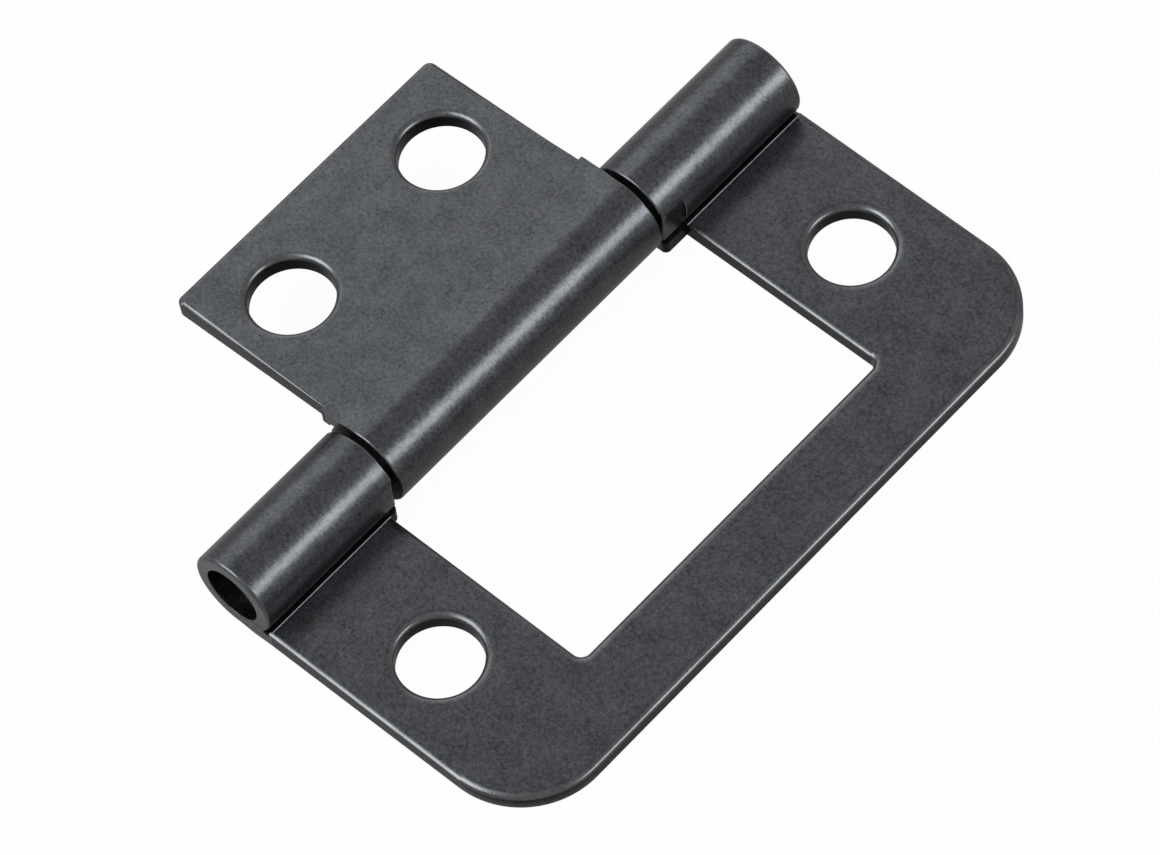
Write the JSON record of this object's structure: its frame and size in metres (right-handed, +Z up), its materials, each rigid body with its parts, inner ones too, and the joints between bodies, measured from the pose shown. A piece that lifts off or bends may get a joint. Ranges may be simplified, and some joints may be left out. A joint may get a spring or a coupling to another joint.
{
  "type": "flush hinge",
  "caption": "Steel hinge whose smaller leaf folds into the window of the larger one, with rolled knuckles on one pin and plain round screw holes.",
  "frame": {"origin": "half-way between the frame leaf's two screw holes, on the flat face that it is screwed down on", "axes": "+Y along the pin, +X from the pin out across the frame leaf, +Z up from the seat, so the screws go in from +Z; the pin's axis is 15.3 mm towards -X and 3.75 mm above the seat"},
  "size_m": [0.0523, 0.0636, 0.0077],
  "materials": {
    "coated_leaf": "satin black with a fine grain over sheet steel",
    "coated_pin": "satin black over a steel rod"
  },
  "bodies": {
    "frame": {"frame_leaf": "coated_leaf", "hinge_pin": "coated_pin"},
    "leaf": {"inner_leaf": "coated_leaf"}
  },
  "joints": [
    {"name": "fold", "type": "hinge", "parent": "frame", "child": "leaf", "pos_m": [-0.0153, 0, 0.00375], "axis": [0, 1, 0], "continuous": true}
  ]
}
